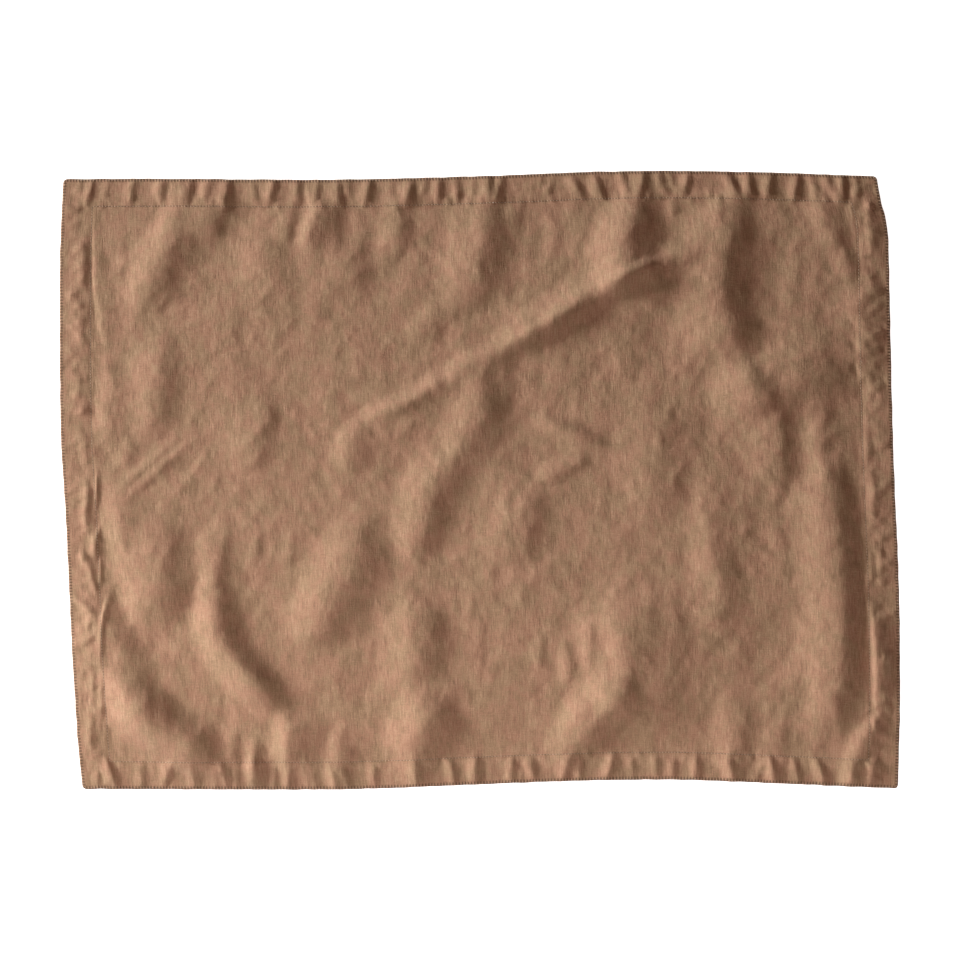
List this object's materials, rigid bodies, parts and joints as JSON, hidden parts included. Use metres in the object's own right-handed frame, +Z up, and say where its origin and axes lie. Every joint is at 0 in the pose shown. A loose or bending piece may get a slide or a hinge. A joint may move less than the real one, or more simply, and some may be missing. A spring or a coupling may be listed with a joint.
{
  "type": "fabric placemat",
  "caption": "Rectangular placemat of washed linen in warm camel brown, with a sewn turned hem all round, lying flat in soft uneven wrinkles",
  "frame": {"origin": "under the middle of the mat's box, on the surface that the mat lies on", "axes": "+X along the mat's long side, +Y along its short side, +Z up out of its face"},
  "size_m": [0.4872, 0.3596, 0.0131],
  "materials": {
    "linen": "matte plain weave, washed and slubby"
  },
  "bodies": {
    "root": {"placemat": "linen"}
  },
  "joints": []
}
